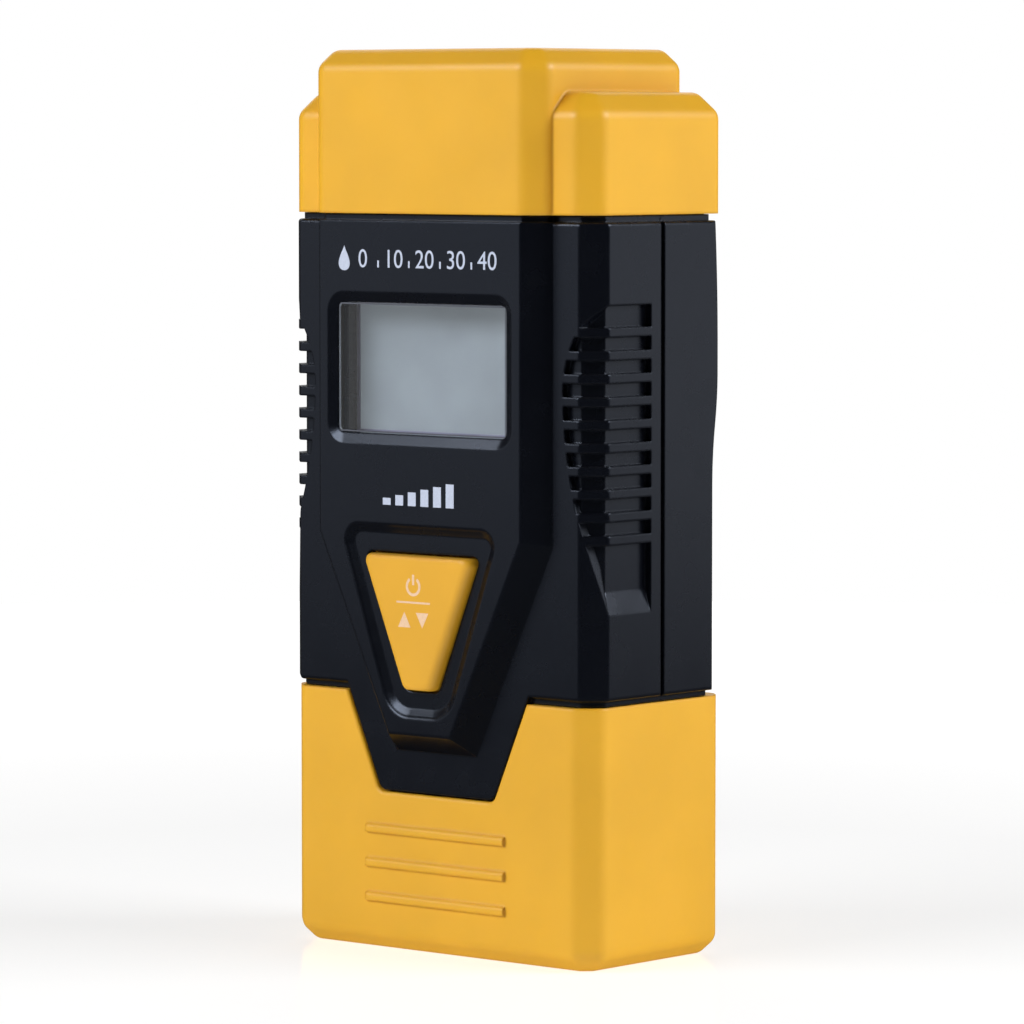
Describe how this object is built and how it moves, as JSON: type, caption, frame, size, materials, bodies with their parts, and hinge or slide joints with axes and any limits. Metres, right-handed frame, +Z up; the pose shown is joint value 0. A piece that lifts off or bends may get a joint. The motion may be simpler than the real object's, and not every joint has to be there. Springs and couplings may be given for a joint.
{
  "type": "moisture meter",
  "caption": "Pocket two-pin moisture meter: black case with display, triangular key and ribbed grips, yellow pull-off pin cap and sliding battery cover.",
  "frame": {"origin": "centre of the bounding box's underside, on the flat bottom the meter stands on", "axes": "+Z up through the pin cap, -Y out of the display, +X to the right as the display is read"},
  "size_m": [0.059, 0.0348, 0.13],
  "materials": {
    "yellow_case": "fine satin moulded ABS",
    "yellow_key": "satin moulded ABS",
    "black_case": "semi-gloss moulded ABS",
    "holder_plastic": "plain moulded nylon",
    "clear_window": "clear polished acrylic",
    "lcd_glass": "reflective grey display, blank",
    "black_rubber": "foam rubber",
    "zebra_rubber": "layered conductive rubber",
    "label_film": "blank satin silver film",
    "board_laminate": "green solder resist",
    "chip_resin": "moulded epoxy",
    "chip_ceramic": "chip resistor",
    "capacitor_ceramic": "chip capacitor",
    "resistor_body": "lacquered resistor",
    "bright_metal": "nickel-plated",
    "cell_steel": "nickel-plated cell can",
    "screw_steel": "zinc-plated",
    "pin_steel": "ground stainless",
    "socket_brass": "turned brass"
  },
  "bodies": {
    "body": {"front_shell": "black_case", "rear_shell": "black_case", "rear_label": "label_film", "display_window": "clear_window", "window_gasket": "black_rubber", "lcd_holder": "black_case", "lcd_panel": "lcd_glass", "zebra_connectors": "zebra_rubber", "circuit_board": "board_laminate", "microcontroller": "chip_resin", "signal_amplifier": "chip_resin", "crystal_can": "bright_metal", "chip_resistors": "chip_ceramic", "chip_capacitors": "capacitor_ceramic", "battery_holder": "holder_plastic", "button_cells": "cell_steel", "negative_contact": "bright_metal", "positive_contact": "bright_metal", "pin_block": "holder_plastic", "pin_sockets": "socket_brass", "measuring_pin_left": "pin_steel", "measuring_pin_right": "pin_steel", "pin_strips": "bright_metal", "case_screws": "screw_steel", "board_screws": "screw_steel", "switch_body": "holder_plastic"},
    "cap": {"pin_cap": "yellow_case", "test_contacts": "socket_brass", "test_resistor": "resistor_body"},
    "key": {"power_key": "yellow_key", "switch_plunger": "holder_plastic"},
    "cover": {"battery_cover": "yellow_case"}
  },
  "joints": [
    {"name": "cap_pull", "type": "slide", "parent": "body", "child": "cap", "axis": [0, 0, 1], "range_m": [0, 0.024]},
    {"name": "cover_slide", "type": "slide", "parent": "body", "child": "cover", "axis": [0, 0, -1], "range_m": [0, 0.032]},
    {"name": "key_press", "type": "slide", "parent": "body", "child": "key", "axis": [0, 1, 0], "range_m": [0, 0.0005], "stiffness_N_per_m": 400}
  ]
}
